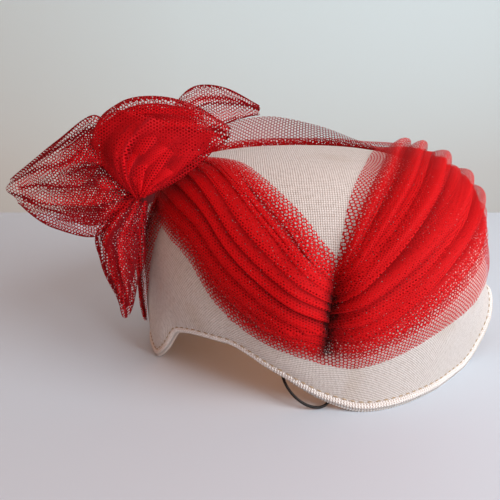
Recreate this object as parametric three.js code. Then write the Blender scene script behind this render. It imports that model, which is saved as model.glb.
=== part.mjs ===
// Shaped pillbox hat of ivory woven straw cloth, with a pleated red tulle veil and a bow.
// Millimetres, +Z up. +X runs to the end without the bow, -Y to the front lobe of the edge.
// The hat stands on its front lobe and on two side tabs of the edge.
import * as THREE from "three";

// Crown
const LENGTH = 200;
const WIDTH = 160;
const HEIGHT = 110;
const WALL = 2.0;
const BELT = 0.4; // height share of the widest line
const DOME_FLATNESS = 0.8; // 1 gives a round dome, less gives a flat top with a full shoulder

// Piping along the edge
const PIPING_HEIGHT = 5.8;
const PIPING_THICKNESS = 4.6;
const PIPING_GAP = 1.0;
const PRESSED = 1.0; // how much of the piping is pressed flat where the hat rests

// Tulle
const TULLE_WALL = 1.4;
const TULLE_GAP = 0.8; // from the crown to the underside of a pleat's valley
const PLEAT_HEIGHT = 2.4;
const BOW_WALL = 1.2;
const BOW_SPAN = 70; // reach of the left loop from the knot
const BOW_CRIMP = 0.022; // height of a loop's small folds, share of the span

// Wire loop under the front edge
const WIRE = 1.4;
const WIRE_LOOP = { long: 28.5, short: 19, roll: -55 }; // roll: degrees of the long axis
const WIRE_LIFT = 0.4; // from the floor to the underside of the wire

// Mesh fineness
const AZIMUTH_STEP = 6.2;
const HEIGHT_STEP = 5.5;
const TURN_STEP = 14;
const LOWER_ROWS = 4;
const UPPER_ROWS = 7;
const STEPS_PER_PLEAT = 4;

// The wavy edge, azimuth by azimuth, anticlockwise from +X. The front lobe is at 300 degrees,
// the temple arches at 8 and 232, the side tabs at 48 and 192, the back edge at 120.
// rise: share of HEIGHT, reach: share of the plan oval, turn: degrees, + out and - curled under.
const EDGE = [
  { azimuth: 0, rise: 0.235, reach: 1.055, turn: 16 },
  { azimuth: 22, rise: 0.16, reach: 1.02, turn: 8 },
  { azimuth: 45, rise: 0, reach: 1.0, turn: 4 },
  { azimuth: 80, rise: 0.03, reach: 1.0, turn: 4 },
  { azimuth: 120, rise: 0.06, reach: 1.0, turn: 4 },
  { azimuth: 160, rise: 0.02, reach: 1.0, turn: 2 },
  { azimuth: 184, rise: 0, reach: 0.985, turn: -6 },
  { azimuth: 203, rise: 0, reach: 0.985, turn: -16 },
  { azimuth: 210, rise: 0.08, reach: 0.955, turn: -50 },
  { azimuth: 217, rise: 0.215, reach: 0.93, turn: -80 },
  { azimuth: 238, rise: 0.255, reach: 0.925, turn: -85 },
  { azimuth: 254, rise: 0.165, reach: 0.96, turn: -60 },
  { azimuth: 268, rise: 0.045, reach: 1.0, turn: -12 },
  { azimuth: 280, rise: 0, reach: 1.04, turn: 14 },
  { azimuth: 300, rise: 0, reach: 0.985, turn: 8 },
  { azimuth: 318, rise: 0, reach: 0.945, turn: 6 },
  { azimuth: 334, rise: 0.035, reach: 0.965, turn: 10 },
  { azimuth: 348, rise: 0.15, reach: 1.03, turn: 16 },
];

// fullness: exponent of the shoulder, less is boxier. lean: how far the top draws in.
// waist: reach of the widest line, share of the plan oval.
const SHOULDER = [
  { azimuth: 0, fullness: 0.54, lean: 0.2, waist: 0.955 },
  { azimuth: 90, fullness: 0.52, lean: 0.08, waist: 1.0 },
  { azimuth: 180, fullness: 0.36, lean: 0.02, waist: 1.0 },
  { azimuth: 215, fullness: 0.36, lean: 0.03, waist: 1.0 },
  { azimuth: 270, fullness: 0.46, lean: 0.1, waist: 1.0 },
  { azimuth: 320, fullness: 0.54, lean: 0.18, waist: 0.975 },
];

// Veils of pleated tulle, station by station. Both borders are given on the crown by azimuth and
// by level: 1 at the apex, 0 on the widest line, -1 at the edge.
// puff: how far the cloth stands off, share of HEIGHT, at the middle of the strip and at its upper border.
const VEILS = [
  {
    name: "tulle_swathe_front",
    pleats: 6,
    steps: 16,
    stations: [
      { lowAzimuth: 190, lowLevel: 0.38, topAzimuth: 184, topLevel: 0.55, puff: 0.0, topPuff: 0 },
      { lowAzimuth: 202, lowLevel: 0.34, topAzimuth: 186, topLevel: 0.76, puff: 0.008, topPuff: 0 },
      { lowAzimuth: 215, lowLevel: 0.26, topAzimuth: 214, topLevel: 0.85, puff: 0.016, topPuff: 0 },
      { lowAzimuth: 226, lowLevel: 0.18, topAzimuth: 238, topLevel: 0.7, puff: 0.022, topPuff: 0 },
      { lowAzimuth: 236, lowLevel: 0.04, topAzimuth: 251, topLevel: 0.53, puff: 0.026, topPuff: 0 },
      { lowAzimuth: 246, lowLevel: -0.22, topAzimuth: 258, topLevel: 0.41, puff: 0.036, topPuff: 0 },
      { lowAzimuth: 256, lowLevel: -0.4, topAzimuth: 263, topLevel: 0.31, puff: 0.05, topPuff: 0 },
      { lowAzimuth: 266.4, lowLevel: -0.46, topAzimuth: 266.8, topLevel: 0.23, puff: 0.012, topPuff: 0 },
    ],
  },
  {
    name: "tulle_swathe_side",
    pleats: 7,
    steps: 16,
    stations: [
      { lowAzimuth: 267.2, lowLevel: -0.46, topAzimuth: 267.8, topLevel: 0.23, puff: 0.012, topPuff: 0 },
      { lowAzimuth: 276, lowLevel: -0.47, topAzimuth: 271, topLevel: 0.36, puff: 0.055, topPuff: 0 },
      { lowAzimuth: 288, lowLevel: -0.36, topAzimuth: 273, topLevel: 0.5, puff: 0.05, topPuff: 0 },
      { lowAzimuth: 302, lowLevel: -0.18, topAzimuth: 278, topLevel: 0.66, puff: 0.045, topPuff: 0 },
      { lowAzimuth: 320, lowLevel: 0.0, topAzimuth: 300, topLevel: 0.84, puff: 0.04, topPuff: 0 },
      { lowAzimuth: 342, lowLevel: 0.04, topAzimuth: 355, topLevel: 0.88, puff: 0.04, topPuff: 0.01 },
      { lowAzimuth: 2, lowLevel: 0.05, topAzimuth: 30, topLevel: 0.8, puff: 0.035, topPuff: 0.015 },
      { lowAzimuth: 22, lowLevel: 0.06, topAzimuth: 44, topLevel: 0.74, puff: 0.025, topPuff: 0.015 },
    ],
  },
  {
    name: "tulle_swathe_back",
    pleats: 5,
    steps: 16,
    stations: [
      { lowAzimuth: 22.6, lowLevel: 0.06, topAzimuth: 44.8, topLevel: 0.74, puff: 0.025, topPuff: 0.015 },
      { lowAzimuth: 52, lowLevel: 0.06, topAzimuth: 66, topLevel: 0.7, puff: 0.02, topPuff: 0.07 },
      { lowAzimuth: 82, lowLevel: 0.08, topAzimuth: 88, topLevel: 0.7, puff: 0.025, topPuff: 0.14 },
      { lowAzimuth: 112, lowLevel: 0.1, topAzimuth: 112, topLevel: 0.72, puff: 0.025, topPuff: 0.18 },
      { lowAzimuth: 138, lowLevel: 0.14, topAzimuth: 136, topLevel: 0.72, puff: 0.025, topPuff: 0.15 },
      { lowAzimuth: 160, lowLevel: 0.22, topAzimuth: 156, topLevel: 0.66, puff: 0.02, topPuff: 0.08 },
      { lowAzimuth: 176, lowLevel: 0.34, topAzimuth: 172, topLevel: 0.54, puff: 0.0, topPuff: 0.0 },
    ],
  },
  {
    name: "tulle_tail_side",
    pleats: 2,
    steps: 8,
    stations: [
      { lowAzimuth: 189, lowLevel: -0.62, topAzimuth: 184, topLevel: -0.6, puff: 0.0, topPuff: 0 },
      { lowAzimuth: 189, lowLevel: -0.3, topAzimuth: 183, topLevel: -0.28, puff: 0.01, topPuff: 0 },
      { lowAzimuth: 188, lowLevel: 0.04, topAzimuth: 181, topLevel: 0.06, puff: 0.01, topPuff: 0 },
      { lowAzimuth: 187, lowLevel: 0.24, topAzimuth: 181, topLevel: 0.28, puff: 0.0, topPuff: 0 },
    ],
  },
];

// The bow. Its loops are outlined in a plane through the knot: right and up, shares of BOW_SPAN.
const KNOT = { x: -0.456 * LENGTH, y: -0.226 * WIDTH, z: 0.882 * HEIGHT };
const KNOT_SIZE = { right: 0.22, forward: 0.2, up: 0.26 }; // shares of BOW_SPAN
const KNOT_RIBS = 6;

// tilt: degrees the plane leans back. forward and tipForward: how far the cloth lies in front of
// the knot at the root and at the tip of the loop. bulge: half the opening between both layers.
// All three are shares of BOW_SPAN.
const LOOPS = [
  {
    name: "bow_loop_left",
    tilt: 12,
    forward: 0.02,
    tipForward: 0.02,
    bulge: 0.12,
    outline: [
      { right: -0.13, up: 0.08, lowRight: -0.13, lowUp: -0.05 },
      { right: -0.31, up: 0.5, lowRight: -0.28, lowUp: -0.24 },
      { right: -0.6, up: 0.38, lowRight: -0.54, lowUp: -0.3 },
      { right: -0.82, up: 0.2, lowRight: -0.8, lowUp: -0.2 },
      { right: -0.97, up: 0.08, lowRight: -0.95, lowUp: -0.07 },
    ],
  },
  {
    name: "bow_loop_low",
    tilt: 0,
    forward: 0.02,
    tipForward: 0.16,
    bulge: 0.07,
    outline: [
      { right: 0.02, up: -0.145, lowRight: -0.07, lowUp: -0.135 },
      { right: -0.03, up: -0.38, lowRight: -0.33, lowUp: -0.38 },
      { right: -0.05, up: -0.62, lowRight: -0.27, lowUp: -0.58 },
      { right: -0.09, up: -0.8, lowRight: -0.2, lowUp: -0.77 },
      { right: -0.11, up: -0.93, lowRight: -0.15, lowUp: -0.91 },
    ],
  },
  {
    name: "bow_puff_top",
    tilt: 25,
    forward: 0.12,
    tipForward: 0.2,
    bulge: 0.12,
    outline: [
      { right: -0.04, up: 0.14, lowRight: 0.06, lowUp: 0.115 },
      { right: -0.24, up: 0.42, lowRight: 0.12, lowUp: 0.2 },
      { right: -0.12, up: 0.6, lowRight: 0.24, lowUp: 0.24 },
      { right: 0.16, up: 0.66, lowRight: 0.36, lowUp: 0.24 },
      { right: 0.42, up: 0.58, lowRight: 0.5, lowUp: 0.24 },
      { right: 0.65, up: 0.42, lowRight: 0.62, lowUp: 0.32 },
    ],
  },
  {
    name: "bow_loop_right",
    tilt: 25,
    forward: -0.12,
    tipForward: -0.42,
    bulge: 0.05,
    outline: [
      { right: 0.03, up: 0.14, lowRight: 0.1, lowUp: 0.11 },
      { right: 0.14, up: 0.61, lowRight: 0.22, lowUp: 0.36 },
      { right: 0.29, up: 0.84, lowRight: 0.4, lowUp: 0.48 },
      { right: 0.57, up: 0.85, lowRight: 0.58, lowUp: 0.6 },
      { right: 0.82, up: 0.77, lowRight: 0.79, lowUp: 0.7 },
    ],
  },
];

const STRAW = new THREE.MeshStandardMaterial({
  name: "ivory_straw_cloth",
  color: 0xe6dfd0,
  roughness: 0.85,
  metalness: 0,
});
const TULLE = new THREE.MeshStandardMaterial({
  name: "red_tulle",
  color: 0xb80d1c,
  roughness: 0.75,
  metalness: 0,
});
const BLACK_WIRE = new THREE.MeshStandardMaterial({
  name: "dark_wire",
  color: 0x1c1512,
  roughness: 0.3,
  metalness: 0.2,
});

const vector = (x, y, z) => new THREE.Vector3(x, y, z);
const radians = THREE.MathUtils.degToRad;

// Cubic blend of two values with given slopes, at share w of the interval.
function hermite(from, to, slopeFrom, slopeTo, w) {
  const w2 = w * w;
  const w3 = w2 * w;
  return (
    (2 * w3 - 3 * w2 + 1) * from +
    (w3 - 2 * w2 + w) * slopeFrom +
    (3 * w2 - 2 * w3) * to +
    (w3 - w2) * slopeTo
  );
}

// Value of a column at an azimuth, smooth all round, without overshoot at its crests.
function around(table, column, azimuth) {
  const angle = THREE.MathUtils.euclideanModulo(azimuth, 360);
  const rows = table.length;
  let index = rows - 1;
  while (index > 0 && table[index].azimuth > angle) {
    index -= 1;
  }
  const sample = (offset) => {
    const place = index + offset;
    const turns = Math.floor(place / rows);
    const row = table[place - turns * rows];
    return { at: row.azimuth + 360 * turns, value: row[column] };
  };
  const [before, start, end, after] = [-1, 0, 1, 2].map(sample);
  const span = end.at - start.at;
  const rise = end.value - start.value;
  const slope = (a, b, stepA, stepB) => {
    const mean = ((b.value - a.value) / (b.at - a.at)) * span;
    return stepA * stepB <= 0 ? 0 : THREE.MathUtils.clamp(mean, -3 * Math.abs(rise), 3 * Math.abs(rise));
  };
  return hermite(
    start.value,
    end.value,
    slope(before, end, start.value - before.value, rise),
    slope(start, after, rise, after.value - end.value),
    (angle - start.at) / span,
  );
}

// Value between the evenly spaced entries of a list, at share t of its length.
function between(values, t) {
  const last = values.length - 1;
  const place = THREE.MathUtils.clamp(t, 0, 1) * last;
  const index = Math.min(Math.floor(place), last - 1);
  const at = (i) => values[THREE.MathUtils.clamp(i, 0, last)];
  const slopeFrom = (at(index + 1) - at(index - 1)) / 2;
  const slopeTo = (at(index + 2) - at(index)) / 2;
  return hermite(at(index), at(index + 1), slopeFrom, slopeTo, place - index);
}

// Point of the crown's outer face. Level 1 is the apex, 0 the widest line, -1 the lowest edge.
function crownPoint(azimuth, level) {
  const waist = around(SHOULDER, "waist", azimuth);
  const beltHeight = BELT * HEIGHT;
  let reach;
  let height;
  if (level >= 0) {
    const climb = Math.min(level, 1) * (Math.PI / 2);
    const draw = 1 - around(SHOULDER, "lean", azimuth) * Math.sin(climb);
    reach = waist * draw * Math.max(Math.cos(climb), 0) ** around(SHOULDER, "fullness", azimuth);
    height = beltHeight + (HEIGHT - beltHeight) * Math.sin(climb) ** DOME_FLATNESS;
  } else {
    const edgeHeight = around(EDGE, "rise", azimuth) * HEIGHT;
    const drop = beltHeight - edgeHeight;
    const turn = radians(around(EDGE, "turn", azimuth));
    const dropShare = (drop * 4) / (LENGTH + WIDTH);
    const outward = Math.sin(turn) * dropShare;
    reach = hermite(waist, around(EDGE, "reach", azimuth), 0, outward, -level);
    height = hermite(beltHeight, edgeHeight, -drop, -Math.cos(turn) * drop, -level);
  }
  const angle = radians(azimuth);
  return vector((LENGTH / 2) * Math.cos(angle) * reach, (WIDTH / 2) * Math.sin(angle) * reach, height);
}

// Outward normal of the crown's outer face, and the direction that climbs towards the apex.
function crownFrame(azimuth, level) {
  const nearApex = Math.min(level, 0.985);
  const up = crownPoint(azimuth, nearApex + 0.01).sub(crownPoint(azimuth, Math.max(nearApex - 0.01, -1)));
  const along = crownPoint(azimuth + 0.4, nearApex).sub(crownPoint(azimuth - 0.4, nearApex));
  return { normal: along.cross(up).normalize(), up: up.normalize() };
}

// Level on the crown at a distance above the lowest edge, measured along the wall.
function levelAbove(azimuth, distance) {
  const steps = 24;
  let walked = 0;
  let previous = crownPoint(azimuth, -1);
  for (let i = 1; i <= steps; i += 1) {
    const point = crownPoint(azimuth, -1 + i / steps);
    const step = point.distanceTo(previous);
    if (walked + step >= distance) {
      return -1 + (i - 1 + (distance - walked) / step) / steps;
    }
    walked += step;
    previous = point;
  }
  return 0;
}

// Azimuths all round, closer together where the edge climbs.
function crownAzimuths() {
  return EDGE.flatMap((row, i) => {
    const next = EDGE[(i + 1) % EDGE.length];
    const span = THREE.MathUtils.euclideanModulo(next.azimuth - row.azimuth, 360);
    const climb = Math.abs(next.rise - row.rise) * HEIGHT;
    const turn = Math.abs(next.turn - row.turn);
    const parts = Math.ceil(Math.max(span / AZIMUTH_STEP, climb / HEIGHT_STEP, turn / TURN_STEP));
    return Array.from({ length: parts }, (_, j) => row.azimuth + (span * j) / parts);
  });
}

// Closed mesh from points and faces, each face a loop of three or four point numbers.
function solid(name, points, faces, material) {
  const geometry = new THREE.BufferGeometry();
  geometry.setAttribute("position", new THREE.Float32BufferAttribute(points.flatMap((p) => p.toArray()), 3));
  geometry.setIndex(faces.flatMap(([a, b, c, d]) => (d === undefined ? [a, b, c] : [a, b, c, a, c, d])));
  geometry.computeVertexNormals();
  const mesh = new THREE.Mesh(geometry, material);
  mesh.name = name;
  return mesh;
}

// Wall between two grids of points, rows by columns, the outer one seen from outside.
function wall(name, outer, inner, material) {
  const rows = outer.length;
  const columns = outer[0].length;
  const points = [...outer.flat(), ...inner.flat()];
  const out = (i, j) => i * columns + j;
  const inn = (i, j) => rows * columns + i * columns + j;
  const faces = [];
  for (let i = 0; i + 1 < rows; i += 1) {
    for (let j = 0; j + 1 < columns; j += 1) {
      faces.push([out(i, j), out(i + 1, j), out(i + 1, j + 1), out(i, j + 1)]);
      faces.push([inn(i, j), inn(i, j + 1), inn(i + 1, j + 1), inn(i + 1, j)]);
    }
    faces.push([out(i, 0), inn(i, 0), inn(i + 1, 0), out(i + 1, 0)]);
    faces.push([out(i, columns - 1), out(i + 1, columns - 1), inn(i + 1, columns - 1), inn(i, columns - 1)]);
  }
  for (let j = 0; j + 1 < columns; j += 1) {
    faces.push([out(0, j), out(0, j + 1), inn(0, j + 1), inn(0, j)]);
    faces.push([out(rows - 1, j), inn(rows - 1, j), inn(rows - 1, j + 1), out(rows - 1, j + 1)]);
  }
  return solid(name, points, faces, material);
}

// Tube through closed sections: every ring has the same number of points.
// A closed tube returns to its first ring, an open one gets a cap at both ends.
function tube(name, rings, closed, material) {
  const size = rings[0].length;
  const faces = [];
  const count = closed ? rings.length : rings.length - 1;
  for (let i = 0; i < count; i += 1) {
    const a = i * size;
    const b = ((i + 1) % rings.length) * size;
    for (let j = 0; j < size; j += 1) {
      const k = (j + 1) % size;
      faces.push([a + j, a + k, b + k, b + j]);
    }
  }
  const points = rings.flat();
  if (!closed) {
    [[0, 1], [rings.length - 1, -1]].forEach(([ring, side]) => {
      const middle = rings[ring].reduce((sum, p) => sum.add(p), vector(0, 0, 0)).divideScalar(size);
      points.push(middle);
      for (let j = 0; j < size; j += 1) {
        const pair = [ring * size + j, ring * size + ((j + 1) % size)];
        faces.push([points.length - 1, ...(side > 0 ? pair.reverse() : pair)]);
      }
    });
  }
  return solid(name, points, faces, material);
}

function crown() {
  const azimuths = crownAzimuths();
  const rimDistance = PIPING_HEIGHT + PIPING_GAP;
  const columnOf = (azimuth) => {
    const rim = levelAbove(azimuth, rimDistance);
    const lower = Array.from({ length: LOWER_ROWS }, (_, i) => rim * (1 - i / LOWER_ROWS));
    const upper = Array.from({ length: UPPER_ROWS }, (_, i) => 1 - (1 - i / UPPER_ROWS) ** 1.15);
    return [...lower, ...upper];
  };
  const points = [];
  azimuths.forEach((azimuth) => {
    columnOf(azimuth).forEach((level) => {
      const outside = crownPoint(azimuth, level);
      const { normal } = crownFrame(azimuth, level);
      points.push(outside, outside.clone().addScaledVector(normal, -WALL));
    });
  });
  const rows = LOWER_ROWS + UPPER_ROWS;
  const around360 = azimuths.length;
  const out = (i, j) => 2 * ((i % around360) * rows + j);
  const inn = (i, j) => out(i, j) + 1;
  const apex = points.length;
  points.push(vector(0, 0, HEIGHT), vector(0, 0, HEIGHT - WALL));
  const faces = [];
  for (let i = 0; i < around360; i += 1) {
    for (let j = 0; j + 1 < rows; j += 1) {
      faces.push([out(i, j), out(i + 1, j), out(i + 1, j + 1), out(i, j + 1)]);
      faces.push([inn(i, j), inn(i, j + 1), inn(i + 1, j + 1), inn(i + 1, j)]);
    }
    faces.push([out(i, rows - 1), out(i + 1, rows - 1), apex]);
    faces.push([inn(i + 1, rows - 1), inn(i, rows - 1), apex + 1]);
    faces.push([out(i + 1, 0), out(i, 0), inn(i, 0), inn(i + 1, 0)]);
  }
  return solid("crown", points, faces, STRAW);
}

// Rounded cord cover below the rim, pressed flat where the hat rests.
function piping() {
  const corners = 8;
  const rings = crownAzimuths().map((azimuth) => {
    const level = levelAbove(azimuth, PIPING_HEIGHT / 2);
    const { normal, up } = crownFrame(azimuth, level);
    const middle = crownPoint(azimuth, level).addScaledVector(normal, -WALL / 2);
    return Array.from({ length: corners }, (_, j) => {
      const angle = (j / corners) * 2 * Math.PI;
      const point = middle
        .clone()
        .addScaledVector(normal, (Math.cos(angle) * PIPING_THICKNESS) / 2)
        .addScaledVector(up, (Math.sin(angle) * PIPING_HEIGHT) / 2);
      point.z = Math.max(point.z, PRESSED);
      return point;
    });
  });
  return tube("edge_binding", rings.map((ring) => ring.reverse()), true, STRAW);
}

// Place on the crown of a point of a flat chart whose centre is the apex.
function fromChart(x, y) {
  return { azimuth: THREE.MathUtils.radToDeg(Math.atan2(y, x)), level: 1 - Math.hypot(x, y) };
}

function veil({ name, pleats, steps, stations }) {
  const border = (side) => {
    const radius = stations.map((s) => 1 - s[`${side}Level`]);
    const angle = stations.map((s) => radians(s[`${side}Azimuth`]));
    return { x: radius.map((r, i) => r * Math.cos(angle[i])), y: radius.map((r, i) => r * Math.sin(angle[i])) };
  };
  const low = border("low");
  const top = border("top");
  const puff = stations.map((s) => s.puff * HEIGHT);
  const topPuff = stations.map((s) => s.topPuff * HEIGHT);
  const columns = pleats * STEPS_PER_PLEAT;
  const outer = [];
  const inner = [];
  for (let i = 0; i <= steps; i += 1) {
    const t = i / steps;
    outer.push([]);
    inner.push([]);
    for (let j = 0; j <= columns; j += 1) {
      const share = j / columns;
      const x = THREE.MathUtils.lerp(between(low.x, t), between(top.x, t), share);
      const y = THREE.MathUtils.lerp(between(low.y, t), between(top.y, t), share);
      const { azimuth, level } = fromChart(x, y);
      const { normal } = crownFrame(azimuth, level);
      const fold = (share * pleats) % 1;
      const crest = (1 - Math.cos(2 * Math.PI * fold ** 1.3)) / 2;
      const standing = between(puff, t) * Math.sin(Math.PI * share) ** 0.6 + between(topPuff, t) * share ** 2;
      const lift = TULLE_GAP + Math.max(standing, 0) + PLEAT_HEIGHT * crest;
      const foot = crownPoint(azimuth, level);
      inner[i].push(foot.clone().addScaledVector(normal, lift));
      outer[i].push(foot.clone().addScaledVector(normal, lift + TULLE_WALL));
    }
  }
  return wall(name, outer, inner, TULLE);
}

// A loop of the bow: the cloth runs out along the outline, folds over at its tip and comes back.
function bowLoop({ name, tilt, forward, tipForward, bulge, outline }) {
  const steps = 14;
  const columns = 6;
  const lean = radians(tilt);
  const up = vector(0, Math.sin(lean), Math.cos(lean));
  const ahead = vector(0, -Math.cos(lean), Math.sin(lean));
  const column = (key) => outline.map((row) => row[key] * BOW_SPAN);
  const edges = ["right", "up", "lowRight", "lowUp"].map(column);
  const middle = (t, share) => {
    const out = 1 - Math.abs(1 - 2 * t);
    const eased = out * (1 - 0.25 * out) / 0.75;
    const [right, high, lowRight, lowUp] = edges.map((values) => between(values, eased));
    const open = Math.sin(Math.PI * Math.min(eased, 1)) ** 0.7 * bulge * BOW_SPAN * Math.sign(1 - 2 * t);
    const apart = BOW_WALL * 1.2 * (1 - 2 * t);
    const crimp = Math.cos(3 * Math.PI * share) * BOW_CRIMP * BOW_SPAN * (1 - 0.5 * eased);
    const arch = 0.55 + 0.45 * Math.sin(Math.PI * share);
    return vector(KNOT.x, KNOT.y, KNOT.z)
      .add(vector(THREE.MathUtils.lerp(lowRight, right, share), 0, 0))
      .addScaledVector(up, THREE.MathUtils.lerp(lowUp, high, share))
      .addScaledVector(ahead, THREE.MathUtils.lerp(forward, tipForward, eased) * BOW_SPAN)
      .addScaledVector(ahead, open * arch + apart + crimp);
  };
  const outer = [];
  const inner = [];
  for (let i = 0; i <= steps; i += 1) {
    outer.push([]);
    inner.push([]);
    for (let j = 0; j <= columns; j += 1) {
      const t = i / steps;
      const share = j / columns;
      const point = middle(t, share);
      const along = middle(Math.min(t + 0.02, 1), share).sub(middle(Math.max(t - 0.02, 0), share));
      const across = middle(t, Math.min(share + 0.04, 1)).sub(middle(t, Math.max(share - 0.04, 0)));
      const normal = along.cross(across).normalize();
      outer[i].push(point.clone().addScaledVector(normal, BOW_WALL / 2));
      inner[i].push(point.clone().addScaledVector(normal, -BOW_WALL / 2));
    }
  }
  return wall(name, outer, inner, TULLE);
}

// Gathered band round the middle of the bow, ribbed by its folds.
function knot() {
  const sides = KNOT_RIBS * 3;
  const layers = 6;
  const rings = Array.from({ length: layers + 1 }, (_, i) => {
    const climb = Math.PI * ((i + 0.35) / (layers + 0.7));
    return Array.from({ length: sides }, (__, j) => {
      const turn = (2 * Math.PI * j) / sides;
      const rib = 1 + 0.07 * Math.cos(KNOT_RIBS * turn);
      const wide = Math.sin(climb) ** 0.8 * rib * (BOW_SPAN / 2);
      return vector(
        KNOT.x + KNOT_SIZE.right * wide * Math.cos(turn),
        KNOT.y + KNOT_SIZE.forward * wide * Math.sin(turn),
        KNOT.z - KNOT_SIZE.up * (BOW_SPAN / 2) * Math.cos(climb),
      );
    });
  });
  return tube("bow_knot", rings, false, TULLE);
}

// Oval wire loop that hangs from the inside of the front edge and slants forward to the floor.
function pinLoop() {
  const right = vector(0.965, 0.262, 0).normalize();
  const up = vector(-0.165, 0.608, 0.777).normalize();
  const ahead = up.clone().cross(right).normalize();
  const roll = radians(WIRE_LOOP.roll);
  const at = (turn) => {
    const long = (Math.cos(turn) * WIRE_LOOP.long) / 2;
    const short = (Math.sin(turn) * WIRE_LOOP.short) / 2;
    return vector(0, 0, 0)
      .addScaledVector(right, long * Math.cos(roll) - short * Math.sin(roll))
      .addScaledVector(up, long * Math.sin(roll) + short * Math.cos(roll));
  };
  const sides = 6;
  const steps = 30;
  const turns = Array.from({ length: steps }, (_, i) => (2 * Math.PI * i) / steps);
  const lowest = Math.min(...turns.map((turn) => at(turn).z));
  const centre = vector(-0.058 * LENGTH, -0.459 * WIDTH, PRESSED + WIRE_LIFT + WIRE / 2 - lowest);
  const rings = turns.map((turn) => {
    const along = at(turn + 0.05).sub(at(turn - 0.05)).normalize();
    const outward = ahead.clone().cross(along).normalize();
    return Array.from({ length: sides }, (_, j) => {
      const angle = (2 * Math.PI * j) / sides;
      return centre
        .clone()
        .add(at(turn))
        .addScaledVector(outward, (WIRE / 2) * Math.cos(angle))
        .addScaledVector(ahead, (WIRE / 2) * Math.sin(angle));
    });
  });
  return tube("pin_loop", rings, true, BLACK_WIRE);
}

const group = new THREE.Group();
group.name = "pillbox_hat";
group.add(crown(), piping(), ...VEILS.map(veil), knot(), ...LOOPS.map(bowLoop), pinLoop());

// The origin is the middle of the whole hat's outline, on the floor.
const box = new THREE.Box3().setFromObject(group, true);
const middle = box.getCenter(vector(0, 0, 0));
group.children.forEach((mesh) => mesh.geometry.translate(-middle.x, -middle.y, -box.min.z));

export default group;
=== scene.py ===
# %% [markdown]
# A pillbox hat of woven straw cloth with a veil and a bow of red tulle. The CAD solids give the
# sizes. This lesson dresses them: the blocked crown gets its weave, the edge its ribbed piping and
# stitches, and the tulle its pleats and its see-through net.

# %% Start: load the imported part
import math

import bpy
import numpy as np
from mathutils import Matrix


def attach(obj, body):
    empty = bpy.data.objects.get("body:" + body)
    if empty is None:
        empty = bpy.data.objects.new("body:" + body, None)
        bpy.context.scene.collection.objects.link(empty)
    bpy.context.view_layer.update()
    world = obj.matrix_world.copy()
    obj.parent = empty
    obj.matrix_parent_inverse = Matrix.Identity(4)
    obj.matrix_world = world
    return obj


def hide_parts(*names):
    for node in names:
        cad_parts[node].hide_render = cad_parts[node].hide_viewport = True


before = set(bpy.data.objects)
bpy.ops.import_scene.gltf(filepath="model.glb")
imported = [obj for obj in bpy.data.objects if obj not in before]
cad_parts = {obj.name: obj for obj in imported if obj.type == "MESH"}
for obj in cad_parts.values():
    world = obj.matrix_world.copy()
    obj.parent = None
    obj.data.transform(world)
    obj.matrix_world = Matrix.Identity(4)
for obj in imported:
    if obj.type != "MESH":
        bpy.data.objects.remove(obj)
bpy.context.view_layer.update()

# %% [markdown]
# Every length below is in millimetres from the middle of the head opening, on the table. The CAD
# part has its own origin, so one shift moves the finished points there. The apex of the crown is
# the one point that both know, and it gives the shift.

# %% Sizes of the hat and the shift to the part's origin
LENGTH, WIDTH, HEIGHT = 200.0, 160.0, 110.0
WALL = 2.0
BELT = 0.4  # height share of the widest line
DOME_FLATNESS = 0.8  # 1 gives a round dome, less gives a flat top with a full shoulder
PIPING_HEIGHT, PIPING_THICKNESS = 5.8, 4.6
PRESSED = 1.0  # how much of the piping is pressed flat where the hat stands

crown_node = bpy.data.objects["crown"]
apex = max((v.co for v in crown_node.data.vertices), key=lambda co: co.z)
SHIFT = np.array([apex.x * 1000, apex.y * 1000, apex.z * 1000 - HEIGHT])
print("shift in mm", SHIFT.round(2))

# %% [markdown]
# The crown follows a rule: a table says how high the edge is and how far it reaches in each
# direction, and a second one how full the shoulder is. A smooth curve through the rows fills in
# the rest, so the surface has as many points as it needs. Any point of it can be asked for, and
# that is what the piping, the stitches and the tulle are laid on later.

# %% Edge and shoulder of the crown
# azimuth in degrees, rise share, reach share, turn in degrees
EDGE = np.array(
    [
        (0, 0.235, 1.055, 16),
        (22, 0.16, 1.02, 8),
        (45, 0, 1.0, 4),
        (80, 0.03, 1.0, 4),
        (120, 0.06, 1.0, 4),
        (160, 0.02, 1.0, 2),
        (184, 0, 0.985, -6),
        (203, 0, 0.985, -16),
        (210, 0.08, 0.955, -50),
        (217, 0.215, 0.93, -80),
        (238, 0.255, 0.925, -85),
        (254, 0.165, 0.96, -60),
        (268, 0.045, 1.0, -12),
        (280, 0, 1.04, 14),
        (300, 0, 0.985, 8),
        (318, 0, 0.945, 6),
        (334, 0.035, 0.965, 10),
        (348, 0.15, 1.03, 16),
    ]
)
# azimuth in degrees, fullness, lean, waist
SHOULDER = np.array(
    [
        (0, 0.54, 0.2, 0.955),
        (90, 0.52, 0.08, 1.0),
        (180, 0.36, 0.02, 1.0),
        (215, 0.36, 0.03, 1.0),
        (270, 0.46, 0.1, 1.0),
        (320, 0.54, 0.18, 0.975),
    ]
)
print("rows for the edge", len(EDGE), "and for the shoulder", len(SHOULDER))


# %% Smooth curves through a table
def hermite(a, b, slope_a, slope_b, w):
    """Cubic blend from a to b with the slopes at both ends."""
    w2, w3 = w * w, w * w * w
    return (
        (2 * w3 - 3 * w2 + 1) * a
        + (w3 - 2 * w2 + w) * slope_a
        + (3 * w2 - 2 * w3) * b
        + (w3 - w2) * slope_b
    )


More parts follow.
